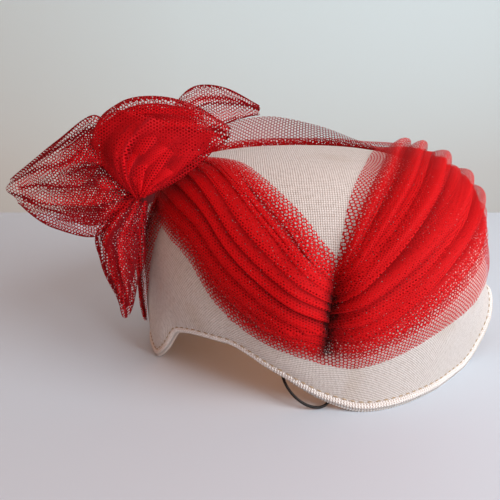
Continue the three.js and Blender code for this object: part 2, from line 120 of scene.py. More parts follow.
def around(table, column, azimuth):
    """Value of a column at each azimuth, smooth all round and without overshoot at its crests."""
    at, value = table[:, 0], table[:, column]
    rows = len(at)
    angle = np.mod(azimuth, 360.0)
    index = np.searchsorted(at, angle, side="right") - 1

    def row(k):
        return at[k % rows] + 360.0 * (k // rows), value[k % rows]

    (x0, y0), (x1, y1), (x2, y2), (x3, y3) = (row(index + k) for k in (-1, 0, 1, 2))
    span, rise = x2 - x1, y2 - y1
    limit = 3 * np.abs(rise)
    slope_a = np.where((y1 - y0) * rise <= 0, 0, np.clip((y2 - y0) / (x2 - x0) * span, -limit, limit))
    slope_b = np.where(rise * (y3 - y2) <= 0, 0, np.clip((y3 - y1) / (x3 - x1) * span, -limit, limit))
    return hermite(y1, y2, slope_a, slope_b, (angle - x1) / span)


print("edge over the table in mm, at the front and at the arch", around(EDGE, 1, [280.0, 238.0]) * HEIGHT)


# %% Points on the crown
def crown_point(azimuth, level):
    """Points on the outer face. Level is 1 at the apex, 0 on the widest line, -1 at the lowest edge."""
    azimuth, level = np.broadcast_arrays(np.asarray(azimuth, float), np.asarray(level, float))
    waist = around(SHOULDER, 3, azimuth)
    belt = BELT * HEIGHT
    climb = np.clip(level, 0, 1) * math.pi / 2
    dome = waist * (1 - around(SHOULDER, 2, azimuth) * np.sin(climb))
    dome = dome * np.clip(np.cos(climb), 0, 1) ** around(SHOULDER, 1, azimuth)
    dome_z = belt + (HEIGHT - belt) * np.sin(climb) ** DOME_FLATNESS
    low = np.clip(-level, 0, 1)
    edge_z = around(EDGE, 1, azimuth) * HEIGHT
    drop = belt - edge_z
    turn = np.radians(around(EDGE, 3, azimuth))
    wall = hermite(waist, around(EDGE, 2, azimuth), 0, np.sin(turn) * drop * 4 / (LENGTH + WIDTH), low)
    wall_z = hermite(belt, edge_z, -drop, -np.cos(turn) * drop, low)
    reach = np.where(level >= 0, dome, wall)
    z = np.where(level >= 0, dome_z, wall_z)
    angle = np.radians(azimuth)
    return np.stack([LENGTH / 2 * np.cos(angle) * reach, WIDTH / 2 * np.sin(angle) * reach, z], -1)


def unit(v):
    """Vectors with a length of 1."""
    return v / np.maximum(np.linalg.norm(v, axis=-1, keepdims=True), 1e-9)


def crown_frame(azimuth, level):
    """Outward normal of the crown and the direction that climbs to the apex."""
    level = np.minimum(level, 0.985)
    climb = crown_point(azimuth, level + 0.01) - crown_point(azimuth, np.maximum(level - 0.01, -1))
    along = crown_point(azimuth + 0.4, level) - crown_point(azimuth - 0.4, level)
    return unit(np.cross(along, climb)), unit(climb)


print("front of the crown", crown_point(270.0, 0.0).round(1))

# %% [markdown]
# Cloth keeps its length when it is laid on a form, so a pattern on it has to be measured along the
# surface. Two tables hold the way down from the apex in millimetres: one says how long the way to
# a level is, the other one says at which level a length ends.


# %% Lengths along the crown
DEGREES_APART, WAY_STEPS = 5, 100
AZIMUTH_ROWS = 360 // DEGREES_APART + 1


def along_lines(lines):
    """Length walked at each point of a set of lines, each in its own row."""
    steps = np.linalg.norm(np.diff(lines, axis=1), axis=-1)
    return np.concatenate([np.zeros((len(lines), 1)), np.cumsum(steps, 1)], 1)


way_levels = np.linspace(1, -1, WAY_STEPS + 1)
way_azimuths = np.arange(AZIMUTH_ROWS) * float(DEGREES_APART)
WAY_DOWN = along_lines(crown_point(way_azimuths[:, None], way_levels[None, :]))
even_steps = np.linspace(0, 1, WAY_STEPS + 1)
LEVEL_THERE = np.array([np.interp(even_steps * row[-1], row, way_levels) for row in WAY_DOWN])


def look_up(table, azimuth, column):
    """Value of one of the two tables, linear between its entries."""
    bearing = np.mod(azimuth, 360.0) / DEGREES_APART
    i = np.minimum(bearing.astype(int), AZIMUTH_ROWS - 2)
    j = np.clip(column.astype(int), 0, WAY_STEPS - 1)
    f, g = bearing - i, np.clip(column - j, 0, 1)
    near, far = (table[k, j] * (1 - g) + table[k, j + 1] * g for k in (i, i + 1))
    return near * (1 - f) + far * f


def way_down(azimuth, level):
    """Length in mm from the apex down the crown to a level."""
    azimuth, level = np.broadcast_arrays(np.asarray(azimuth, float), np.asarray(level, float))
    return look_up(WAY_DOWN, azimuth, (1 - level) * WAY_STEPS / 2)


def level_there(azimuth, way):
    """Level at a length in mm down from the apex."""
    whole = look_up(WAY_DOWN, azimuth, 0 * azimuth + WAY_STEPS)
    return look_up(LEVEL_THERE, azimuth, np.clip(way / whole, 0, 1) * WAY_STEPS)


def level_above(azimuth, distance):
    """Level at a distance in mm above the lowest edge, along the wall."""
    steps = np.linspace(-1, 0, 60)
    walked = along_lines(crown_point(azimuth[:, None], steps[None, :]))
    return np.array([np.interp(distance, row, steps) for row in walked])


print("way down the front in mm", way_down(270.0, -1.0).round(1))

# %% [markdown]
# A sheet of cloth is a grid of points. These helpers turn a grid into a mesh, with a UV map that
# holds the place of each point on the flat cloth, so that a net or a weave keeps its real size. The
# map is in metres, and a pattern of 1.4 mm is 0.0014 on it.


# %% From grids to meshes
def to_part(points):
    """Points in mm from the middle of the head opening, as metres from the part's origin."""
    return (np.asarray(points) + SHIFT) / 1000


def mesh_object(name, points, faces, uvs=None, values=None):
    """A smooth object. uvs has a pair of mm for each point, values the lists of its attributes."""
    mesh = bpy.data.meshes.new(name)
    mesh.from_pydata(to_part(points).tolist(), [], faces)
    mesh.validate()
    mesh.shade_smooth()
    if uvs is not None:
        layer = mesh.uv_layers.new(name="flat_cloth")
        corner = np.empty(len(mesh.loops), np.int32)
        mesh.loops.foreach_get("vertex_index", corner)
        layer.data.foreach_set("uv", (np.asarray(uvs)[corner] / 1000).astype(np.float32).ravel())
    for key, value in (values or {}).items():
        mesh.attributes.new(key, "FLOAT", "POINT").data.foreach_set("value", np.asarray(value, np.float32))
    piece = bpy.data.objects.new(name, mesh)
    bpy.context.scene.collection.objects.link(piece)
    return piece


def grid_faces(rows, columns, start=0, closed=False):
    """Quads between rows and columns of points. A closed grid joins its last row to its first."""
    faces = []
    for i in range(rows if closed else rows - 1):
        a, b = start + i * columns, start + ((i + 1) % rows) * columns
        faces += [(a + j, b + j, b + j + 1, a + j + 1) for j in range(columns - 1)]
    return faces


def tube_faces(rings, corners):
    """Quads of a tube that is closed to a ring."""
    return [
        (i * corners + j, i * corners + k, (i + 1) % rings * corners + k, (i + 1) % rings * corners + j)
        for i in range(rings)
        for j, k in ((j, (j + 1) % corners) for j in range(corners))
    ]


print("apex in the part's frame in m", to_part([0, 0, HEIGHT]).round(4))


# %% Small helpers for cloth
def rotated(uv, degrees):
    """UV turned by an angle, so that nets that lie on each other don't line up."""
    c, s = math.cos(math.radians(degrees)), math.sin(math.radians(degrees))
    return np.stack([uv[..., 0] * c - uv[..., 1] * s, uv[..., 0] * s + uv[..., 1] * c], -1)


def grid_area(grid):
    """Area of a grid of points in square metres."""
    a = grid[1:, :-1] - grid[:-1, :-1]
    b = grid[:-1, 1:] - grid[:-1, :-1]
    return float(np.linalg.norm(np.cross(a, b), axis=-1).sum()) / 1e6


def ripple(count, seed, scale):
    """A smooth made-up unevenness over two coordinates from 0 to 1, about -1 to 1."""
    rng = np.random.default_rng(seed)
    waves = rng.uniform(-scale, scale, (count, 2))
    phases = rng.uniform(0, 2 * math.pi, count)

    def height(u, v):
        return sum(np.sin(2 * math.pi * (a * u + b * v) + p) for (a, b), p in zip(waves, phases)) / count**0.5

    return height


print("a sample of unevenness", round(float(ripple(6, 3, 1.6)(0.3, 0.4)), 3))


# %% [markdown]
# Cloth and thread are dielectrics: no metal, an IOR near 1.5, and a high roughness, because their
# fibres scatter the light. The colours are hex values as a screen shows them, turned to linear.


# %% Colours, nodes and surfaces
def linear(hex_colour):
    """sRGB hex to linear red, green, blue and alpha."""
    values = [int(hex_colour[i : i + 2], 16) / 255 for i in (0, 2, 4)]
    return [v / 12.92 if v <= 0.04045 else ((v + 0.055) / 1.055) ** 2.4 for v in values] + [1.0]


def add(tree, kind, inputs=None, **settings):
    """A node with its settings. inputs maps a socket's name or number to a value or to an output."""
    node = tree.nodes.new(kind)
    for key, value in settings.items():
        setattr(node, key, value)
    for key, value in (inputs or {}).items():
        socket = node.inputs[key]
        if isinstance(value, bpy.types.NodeSocket):
            tree.links.new(value, socket)
        else:
            socket.default_value = value
    return node


def surface(name, **values):
    """A material with its Principled shader, whose sockets take the given values."""
    material = bpy.data.materials.new(name)
    material.use_nodes = True
    tree = material.node_tree
    shader = tree.nodes["Principled BSDF"]
    for key, value in values.items():
        shader.inputs[key.replace("_", " ")].default_value = value
    return material, tree, shader


def maths(tree, operation, a, b=0.0, c=0.0):
    """Output of a Math node."""
    return add(tree, "ShaderNodeMath", {0: a, 1: b, 2: c}, operation=operation).outputs[0]


def blend(tree, factor, a, b):
    """Output of a Mix node for two colours."""
    return add(tree, "ShaderNodeMix", {0: factor, 6: a, 7: b}, data_type="RGBA").outputs[2]


print("ivory in linear values", [round(value, 3) for value in linear("F4F1EC")])

# %% [markdown]
# Straw cloth is a plain weave of flat strands that are a little under a millimetre wide. Here they
# are 1.15 mm apart, slightly coarser than life, so that they show in a small picture. Two sets of
# rounded strands cross, and a product of sines says which one is on top. The same height drives
# the bump and a painted shade in the small holes and dips between the strands. The cloth is thin,
# so part of the light that falls on it comes out on the other side, warmer than it went in.


# %% Straw cloth
def straw_cloth(name, pitch_mm, light, dark, lets_through, depth_mm=0.35):
    """Material of a plain weave whose strands are pitch_mm apart."""
    material, tree, shader = surface(name, Roughness=0.72, IOR=1.5)
    shader.inputs["Sheen Weight"].default_value = 0.15
    cloth = add(tree, "ShaderNodeUVMap", uv_map="flat_cloth").outputs[0]
    half_waves = 1000 / pitch_mm * math.pi  # a strand is half a wave of the sine
    scaled = add(tree, "ShaderNodeVectorMath", {0: cloth, "Scale": half_waves}, operation="SCALE")
    sway = add(tree, "ShaderNodeTexNoise", {"Vector": cloth, "Scale": 90.0, "Detail": 1.0})
    wander = {0: sway.outputs["Color"], 1: (2.2, 2.2, 0), 2: scaled.outputs[0]}
    bent = add(tree, "ShaderNodeVectorMath", wander, operation="MULTIPLY_ADD")
    axes = add(tree, "ShaderNodeSeparateXYZ", {0: bent.outputs[0]})
    warp, weft = (maths(tree, "SINE", axes.outputs[k]) for k in (0, 1))
    over = maths(tree, "MULTIPLY_ADD", maths(tree, "MULTIPLY", warp, weft), 0.5, 0.5)
    warp_height = maths(tree, "MULTIPLY", maths(tree, "ABSOLUTE", warp), over)
    weft_height = maths(tree, "MULTIPLY", maths(tree, "ABSOLUTE", weft), maths(tree, "SUBTRACT", 1.0, over))
    height = maths(tree, "MAXIMUM", warp_height, weft_height)
    strands = add(tree, "ShaderNodeTexNoise", {"Vector": cloth, "Scale": 420.0, "Detail": 2.0})
    stains = add(tree, "ShaderNodeTexNoise", {"Vector": cloth, "Scale": 26.0, "Detail": 4.0})
    tone = maths(tree, "MULTIPLY_ADD", height, 0.75, maths(tree, "MULTIPLY", strands.outputs[0], 0.45))
    # Low parts of the weave get the dark colour: painted shade in the holes and dips between the strands. The
    # fine noise adds the strands' own uneven tone.
    hole_shade_and_tone = add(tree, "ShaderNodeMapRange", {0: tone, 1: 0.1, 2: 0.75})
    straw = blend(tree, hole_shade_and_tone.outputs[0], linear(dark), linear(light))
    old = add(tree, "ShaderNodeMapRange", {0: stains.outputs[0], 1: 0.56, 2: 0.78, 3: 0.0, 4: 0.35})
    aged = blend(tree, old.outputs[0], straw, linear("B79F7C"))
    tree.links.new(aged, shader.inputs["Base Color"])
    bump = add(tree, "ShaderNodeBump", {"Height": height, "Distance": depth_mm / 1000, "Strength": 0.9})
    tree.links.new(bump.outputs[0], shader.inputs["Normal"])
    through = add(tree, "ShaderNodeBsdfTranslucent", {"Color": linear("F6CDB4")})
    both = add(tree, "ShaderNodeMixShader", {0: lets_through, 1: shader.outputs[0], 2: through.outputs[0]})
    tree.links.new(both.outputs[0], tree.nodes["Material Output"].inputs["Surface"])
    return material


crown_straw = straw_cloth("woven_ivory_straw", 1.15, "F4F1EC", "918678", 0.12)
piping_straw = straw_cloth("bias_cut_straw_piping", 1.1, "FCFAF6", "CFC7BA", 0.0)
print("straw materials", crown_straw.name, "and", piping_straw.name)

# %% [markdown]
# Tulle is a hexagonal net of fine nylon thread. Three sets of waves at 60 degrees to each other
# add up to rows of round hills, and where the sum is low the thread runs. Everything else is
# hole, so the shader's alpha is the thread itself. Real thread is thinner than a pixel here, so
# it is drawn a little thicker than it is. Thin nylon lets much of the light through, so for shadow
# rays the alpha is about a third of that, and the layers below stay bright. The attribute crease
# adds thread where net is folded or gathered. The attribute fold paints light and shade into the
# colour: painted shade in the valleys, a painted highlight on the ridges, and below 0 a deeper
# painted shade in creases and where the net is gathered in.


# %% Tulle
LET_THROUGH = 0.65  # share of the light that passes a thread


def tulle_net(name, cell_mm, thread, ridge, valley):
    """Material of a net with cells of cell_mm. A higher value of thread draws thicker thread."""
    material, tree, shader = surface(name, Roughness=0.75, IOR=1.5, Specular_IOR_Level=0.15)
    cloth = add(tree, "ShaderNodeUVMap", uv_map="flat_cloth").outputs[0]
    waves = []
    for turn in (0, 60, 120):
        size = 4 * math.pi / (math.sqrt(3) * cell_mm / 1000)
        way = (size * math.cos(math.radians(turn)), size * math.sin(math.radians(turn)), 0)
        dot = add(tree, "ShaderNodeVectorMath", {0: cloth, 1: way}, operation="DOT_PRODUCT")
        waves.append(maths(tree, "COSINE", dot.outputs["Value"]))
    hills = maths(tree, "ADD", maths(tree, "ADD", waves[0], waves[1]), waves[2])
    crease = add(tree, "ShaderNodeAttribute", attribute_name="crease").outputs["Fac"]
    hills = maths(tree, "MULTIPLY_ADD", crease, -3.0, hills)
    edge = add(tree, "ShaderNodeMapRange", {0: hills, 1: thread - 0.3, 2: thread + 0.3, 3: 1.0, 4: 0.0})
    lit = add(tree, "ShaderNodeLightPath").outputs["Is Shadow Ray"]
    veiled = maths(tree, "MULTIPLY", edge.outputs[0], maths(tree, "MULTIPLY_ADD", lit, -LET_THROUGH, 1.0))
    tree.links.new(veiled, shader.inputs["Alpha"])
    # Painted light and shade: valleys get the dark colour, ridges the bright one, and values of fold below 0
    # get a deeper painted shade in creases and gathers.
    fold = add(tree, "ShaderNodeAttribute", attribute_name="fold").outputs["Fac"]
    steep = add(tree, "ShaderNodeMapRange", {0: fold, 1: 0.15, 2: 0.85}, interpolation_type="SMOOTHSTEP")
    red = blend(tree, steep.outputs[0], linear(valley), linear(ridge))
    deep_painted_shade = add(tree, "ShaderNodeMapRange", {0: fold, 1: -0.8, 2: 0.0, 3: 0.15, 4: 1.0})
    shaded = add(tree, "ShaderNodeVectorMath", {0: red, "Scale": deep_painted_shade.outputs[0]}, operation="SCALE")
    tree.links.new(shaded.outputs[0], shader.inputs["Base Color"])
    return material


# ridge is a painted highlight and valley a painted shade. The bow's net is a darker copy, painted shade for
# the loops and the tail, which lie in shade; the puff's net is a brighter copy, painted light.
veil_tulle = tulle_net("red_nylon_tulle", 1.4, -0.4, "D2060E", "A40008")
shaded_bow_tulle = tulle_net("red_nylon_tulle_bow_shaded", 1.5, -0.65, "C80812", "7C020E")
lit_puff_tulle = tulle_net("red_nylon_tulle_puff_lit", 1.5, -0.65, "DE0A16", "98040F")
print("tulle materials", veil_tulle.name, shaded_bow_tulle.name, "and", lit_puff_tulle.name)

# %% [markdown]
# The crown is blocked: damp cloth is pulled over a wooden form, which keeps the threads straight
# on top and lets them fan out down the walls. So its UV map spreads from the apex, with the
# length of the wall as the radius. Solidify gives the open shell its thickness.

# %% Crown
AROUND, DOWN = 240, 64
azimuths = np.arange(AROUND) * 360.0 / AROUND
levels = np.concatenate([np.linspace(1, 0, DOWN // 2, endpoint=False)[1:], np.linspace(0, -1, DOWN // 2)])
rim = level_above(azimuths, PIPING_HEIGHT * 0.75)
crown_levels = np.where(levels[None, :] < 0, -levels[None, :] * rim[:, None], levels[None, :])
crown_grid = crown_point(azimuths[:, None], crown_levels)
radius = way_down(azimuths[:, None], crown_levels)
bearing = np.arctan2(crown_grid[..., 1], crown_grid[..., 0])
crown_uv = np.stack([radius * np.cos(bearing), radius * np.sin(bearing)], -1)
columns = crown_grid.shape[1]
points = np.concatenate([crown_grid.reshape(-1, 3), [[0, 0, HEIGHT]]])
faces = [f[::-1] for f in grid_faces(AROUND, columns, closed=True)]
faces += [(AROUND * columns, i * columns, ((i + 1) % AROUND) * columns) for i in range(AROUND)]
crown = mesh_object("straw_crown", points, faces, np.concatenate([crown_uv.reshape(-1, 2), [[0, 0]]]))
crown.data.materials.append(crown_straw)
shell = crown.modifiers.new("wall", "SOLIDIFY")
shell.thickness = WALL / 1000
shell.offset = -1
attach(crown, "root")
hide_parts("crown")
print("crown faces", len(faces))

# %% [markdown]
# The edge is piped: a strip cut on the bias is wrapped round a cord and sewn below the rim. Its
# weave shows as ribs across the cord. The section is an oval that swells at every rib, carried
# along the edge and pressed flat where the hat stands.

# %% Evenly spaced places along the edge
RIB_PITCH, PER_RIB, CORNERS = 1.4, 5, 16
edge_azimuths = np.linspace(0, 360, 721)
walked = along_lines(crown_point(edge_azimuths, -1)[None])[0]
perimeter = walked[-1]
ribs = round(perimeter / RIB_PITCH)
rings = ribs * PER_RIB
places = np.interp(np.arange(rings) / rings * perimeter, walked, edge_azimuths)
print("edge in mm", round(float(perimeter), 1), "with", ribs, "ribs")

# %% Piping
mid = level_above(places, PIPING_HEIGHT / 2)
normal, climb = crown_frame(places, mid)
middle = crown_point(places, mid) - normal * WALL / 2
swell = 1 + 0.09 * (np.cos(2 * math.pi * np.arange(rings) / PER_RIB) - 1)
turn = np.arange(CORNERS) / CORNERS * 2 * math.pi
piping = (
    middle[:, None]
    + normal[:, None] * (np.cos(turn)[None, :, None] * swell[:, None, None]) * PIPING_THICKNESS / 2
    + climb[:, None] * (np.sin(turn)[None, :, None] * swell[:, None, None]) * PIPING_HEIGHT / 2
)
piping[..., 2] = np.maximum(piping[..., 2], PRESSED)
lengthwise = np.arange(rings)[:, None] / rings * perimeter + 0 * turn[None, :]
crosswise = turn[None, :] * PIPING_HEIGHT / 2 + 0 * lengthwise
BIAS = 0.7071  # the weave lies at 45 degrees
on_the_bias = np.stack([(lengthwise + crosswise) * BIAS, (lengthwise - crosswise) * BIAS], -1).reshape(-1, 2)
faces = [f[::-1] for f in tube_faces(rings, CORNERS)]
binding = mesh_object("straw_piping", piping.reshape(-1, 3), faces, on_the_bias)
binding.data.materials.append(piping_straw)
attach(binding, "root")
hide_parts("edge_binding")
print("piping faces", len(faces))

# %% [markdown]
# The stitches that hold the piping sit in the groove above it. One stitch is a short rounded
# bead. Geometry Nodes walk along the groove, set a bead every few millimetres and turn it along
# the line, which is much quicker than placing over a hundred by hand. The thread is waxed cotton:
# dull, darker than the straw, with a roughness a little below that of cloth.

# %% Groove and thread for the stitches
stitch_cotton, _, _ = surface("waxed_cotton_thread", Base_Color=linear("B39B78"), Roughness=0.6)
groove_level = level_above(azimuths, PIPING_HEIGHT * 0.98)
groove = crown_point(azimuths, groove_level) + crown_frame(azimuths, groove_level)[0] * 0.15
line_mesh = bpy.data.meshes.new("groove")
line_mesh.from_pydata(to_part(groove).tolist(), [(i, (i + 1) % AROUND) for i in range(AROUND)], [])
stitches = bpy.data.objects.new("edge_stitches", line_mesh)
bpy.context.scene.collection.objects.link(stitches)
print("points of the groove", len(line_mesh.vertices))

# %% A row of stitches as a node tree
tree = bpy.data.node_groups.new("stitch_row", "GeometryNodeTree")
tree.interface.new_socket("Groove", in_out="INPUT", socket_type="NodeSocketGeometry")
spacing_input = tree.interface.new_socket("Stitch spacing", in_out="INPUT", socket_type="NodeSocketFloat")
length_input = tree.interface.new_socket("Stitch length", in_out="INPUT", socket_type="NodeSocketFloat")
width_input = tree.interface.new_socket("Stitch width", in_out="INPUT", socket_type="NodeSocketFloat")
tree.interface.new_socket("Stitches", in_out="OUTPUT", socket_type="NodeSocketGeometry")
given = add(tree, "NodeGroupInput").outputs
curve = add(tree, "GeometryNodeMeshToCurve", {0: given["Groove"]}).outputs[0]
apart = {"Curve": curve, "Length": given["Stitch spacing"]}
even = add(tree, "GeometryNodeResampleCurve", apart, mode="LENGTH").outputs[0]
tangent = add(tree, "GeometryNodeInputTangent").outputs[0]
turned = add(tree, "FunctionNodeAlignRotationToVector", {"Vector": tangent}, axis="X").outputs[0]
bead = add(tree, "GeometryNodeMeshUVSphere", {"Segments": 8, "Rings": 6, "Radius": 0.5}).outputs[0]
sizes = {0: given["Stitch length"], 1: given["Stitch width"], 2: given["Stitch width"]}
size = add(tree, "ShaderNodeCombineXYZ", sizes).outputs[0]
sewn = {"Points": even, "Instance": bead, "Rotation": turned, "Scale": size}
set_row = add(tree, "GeometryNodeInstanceOnPoints", sewn).outputs[0]
real = add(tree, "GeometryNodeRealizeInstances", {0: set_row}).outputs[0]
coloured = add(tree, "GeometryNodeSetMaterial", {"Geometry": real, "Material": stitch_cotton}).outputs[0]
add(tree, "NodeGroupOutput", {0: coloured})
print("nodes in the stitch tree", len(tree.nodes))

# %% Stitches
STITCH_SPACING, STITCH_LENGTH, STITCH_WIDTH = 4.2, 2.6, 0.55
row = stitches.modifiers.new("stitch row", "NODES")
row.node_group = tree
row[spacing_input.identifier] = STITCH_SPACING / 1000
row[length_input.identifier] = STITCH_LENGTH / 1000
row[width_input.identifier] = STITCH_WIDTH / 1000
evaluated = stitches.evaluated_get(bpy.context.evaluated_depsgraph_get())
plain = bpy.data.meshes.new_from_object(evaluated)
stitches.modifiers.clear()
stitches.data = plain
plain.shade_smooth()
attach(stitches, "root")
print("stitch faces", len(plain.polygons))

# %% [markdown]
# A swathe of tulle is a long strip laid in soft folds. Where a fold turns over, the cloth runs
# forward, back and forward again, so three layers lie on each other and the red gets deep. The
# fold is a wave whose top leans over. Several strips lie on each other, and the lowest one has no
# folds and shows as a sheer margin. Each swathe is a list of stations along its run, with its
# lower and its upper border, and a smooth curve goes through them.


# %% Stations of the swathes
def between(values, t):
    """Values between evenly spaced entries, smooth, at shares t of the list."""
    values = np.asarray(values, float)
    last = len(values) - 1
    place = np.clip(t, 0, 1) * last
    index = np.minimum(place.astype(int), last - 1)
    at = [values[np.clip(index + k, 0, last)] for k in (-1, 0, 1, 2)]
    return hermite(at[1], at[2], (at[2] - at[0]) / 2, (at[3] - at[1]) / 2, place - index)


# low azimuth, low level, top azimuth, top level, puff and puff at the top as shares of HEIGHT
SWATHES = {
    "tulle_swathe_front": [
        (187, 0.36, 182, 0.57, 0.0, 0),
        (201, 0.34, 185, 0.77, 0.008, 0),
        (215, 0.26, 213, 0.875, 0.016, 0),
        (226, 0.18, 238, 0.76, 0.022, 0),
        (236, 0.04, 252, 0.595, 0.026, 0),
        (246, -0.22, 260, 0.465, 0.036, 0),
        (256, -0.4, 265, 0.355, 0.05, 0),
        (266.8, -0.46, 269.6, 0.265, 0.0, 0),
    ],
    "tulle_swathe_side": [
        (266.8, -0.46, 269.6, 0.265, 0.0, 0),
        (276, -0.47, 271.3, 0.38, 0.055, 0),
        (288, -0.36, 273.5, 0.52, 0.05, 0),
        (302, -0.18, 279.5, 0.69, 0.045, 0),
        (320, 0.0, 304, 0.865, 0.04, 0),
        (342, 0.04, 352, 0.9, 0.04, 0.01),
        (362, 0.05, 390, 0.8, 0.035, 0.015),
        (382.3, 0.06, 404.4, 0.74, 0.025, 0.015),
        (412, 0.06, 426, 0.7, 0.02, 0.07),
        (442, 0.08, 448, 0.7, 0.025, 0.14),
        (472, 0.1, 472, 0.72, 0.025, 0.18),
        (498, 0.14, 496, 0.72, 0.025, 0.15),
        (520, 0.22, 516, 0.66, 0.02, 0.08),
        (540, 0.34, 536, 0.56, 0.0, 0.0),
    ],
    "tulle_tail_side": [
        (196, -0.62, 189, -0.6, 0.0, 0),
        (199, -0.3, 187, -0.28, 0.015, 0),
        (204, 0.04, 185, 0.06, 0.02, 0),
        (212, 0.42, 184, 0.46, 0.01, 0),
    ],
}
print("stations", {name: len(stations) for name, stations in SWATHES.items()})

# %% [markdown]
# A dome can't be unrolled flat without stretch, but a cone can, and a cone of the right slant lies
# close to the crown. So the UV of a strip is its place on an unrolled cone: the bearing, taken 0.4
# times, and the way down from the apex. That keeps the cells of the net nearly round everywhere.

# %% Folded strips of tulle
CONE_TURN, CONE_REACH = 0.4, 90.0
STATION_ROWS, FOLD_COLUMNS = 18, 20  # rows of points between two stations, columns in one fold
# The dark near a stitched end is painted shade, where the net is gathered in.
GATHER_SHADE_AT_START, GATHER_SHADE_AT_END = 6.0, 3.0  # how far the dark of a gather reaches, in mm


def strip_grid(stations, low, high, folds, depth, lift, overlap, seed, pinch):
    """Points of one strip, the painted shade and light of its folds, its extra thread and its UV.

    low and high are the shares of the swathe's width where the strip begins and ends, and depth is
    the height of its folds in mm, each as a list along the swathe. pinch is the end that is
    stitched down: 0, 1 or None, and near it the net gets a deeper painted shade.
    """
    table = np.array(stations, float)
    columns = max(int(folds * FOLD_COLUMNS), 14) + 1
    t = np.linspace(0, 1, STATION_ROWS * (len(table) - 1) + 1)[:, None]
    cloth = np.linspace(0, 1, columns)[None, :]
    theta = 2 * math.pi * folds * (cloth + 0.03 * ripple(6, seed, 1.6)(t, cloth))
    theta = theta + 0.9 * ripple(5, seed + 1, 1.0)(t, 0 * cloth)
    fade = np.sin(math.pi * np.clip(cloth, 0.001, 0.999)) ** 0.35
    share = cloth + overlap * fade * np.sin(theta) / (2 * math.pi * folds)
    share = between(low, t) + (between(high, t) - between(low, t)) * share
    radius, angle = way_down(table[:, [0, 2]], table[:, [1, 3]]), np.radians(table[:, [0, 2]])
    flat = t + 0 * cloth
    x = [between(radius[:, k] * np.cos(angle[:, k]), flat) for k in (0, 1)]
    y = [between(radius[:, k] * np.sin(angle[:, k]), flat) for k in (0, 1)]
    x = x[0] + (x[1] - x[0]) * share
    y = y[0] + (y[1] - y[0]) * share
    bearing, way = np.arctan2(y, x), np.hypot(x, y)
    azimuth = np.degrees(bearing)
    level = level_there(azimuth, way)
    bearing = np.unwrap(np.unwrap(bearing, axis=1), axis=0) * CONE_TURN
    uv = (way + CONE_REACH)[..., None] * np.stack([np.cos(bearing), np.sin(bearing)], -1)
    inside = np.clip(share, 0, 1)
    stand = between(table[:, 4], flat) * np.sin(math.pi * np.clip(inside, 0.001, 0.999)) ** 0.6
    stand = np.maximum(stand + between(table[:, 5], flat) * inside**2, 0) * HEIGHT
    fold = between(depth, t) * np.sqrt(0.5 - 0.5 * np.sin(theta)) * (0.25 + 0.75 * fade)
    slack = 0.15 * (1 + ripple(7, seed + 2, 3.5)(t, cloth))
    away = lift + stand + fold + slack
    grid = crown_point(azimuth, level) + crown_frame(azimuth, level)[0] * away[..., None]
    # Painted shade in the valleys of the folds and painted highlight on their ridges.
    height = 0.55 - 0.45 * np.sin(theta) * fade * (folds > 1)
    # Near the stitched end the value drops below 0: a deeper painted shade where the net is gathered.
    if pinch is not None:
        run = np.linalg.norm(grid - grid[-pinch][None], axis=-1)
        dark = np.exp(-((run / (GATHER_SHADE_AT_END if pinch else GATHER_SHADE_AT_START)) ** 2))
        height = height - 1.5 * dark * np.clip(inside / 0.15, 0, 1) * np.clip((0.9 - inside) / 0.25, 0, 1)
    crest = 0.3 * fade * np.exp(-(1 + np.sin(theta)) / 0.03) * (folds > 1)
    return grid, height, crest, uv


print("a cone that turns", CONE_TURN, "times as far as the crown")


# %% Pieces of tulle
NET_TURN = 17  # degrees from one layer's net to the next, so that they don't line up


def tulle_piece(name, layers, tightness, material, replaced, flat_width):
    """One piece from its layers of cloth. It prints the area and the size of the flat strip that they were
    cut from.
    """
    points, faces, uvs, folds, creases, area, start = [], [], [], [], [], 0.0, 0
    for number, (grid, fold, crease, uv) in enumerate(layers):
        rows, columns = grid.shape[:2]
        points.append(grid.reshape(-1, 3))
        faces += grid_faces(rows, columns, start)
        uvs.append(rotated(uv * tightness[number], NET_TURN * number).reshape(-1, 2))
        folds.append(np.broadcast_to(fold, grid.shape[:2]).ravel())
        creases.append(np.broadcast_to(crease, grid.shape[:2]).ravel())
        start += rows * columns
        area += grid_area(grid)
    # fold carries the painted shade and light of the folds, crease the extra thread.
    values = {"fold": np.concatenate(folds), "crease": np.concatenate(creases)}
    piece = mesh_object(name, np.concatenate(points), faces, np.concatenate(uvs), values)
    piece.data.materials.append(material)
    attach(piece, "root")
    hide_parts(replaced)
    print(name, "area of cloth %.4f m2, strip %.2f by %.2f m" % (area, flat_width, area / flat_width))


# %% [markdown]
# The side and the back swathe are one long strip, cut where the CAD parts them. Gathers pack the
# net of some layers more tightly than that of others, which their thread and their cell size show.
# The narrow end beside the low loop hangs in the shade of the bow and has the bow's darker net.

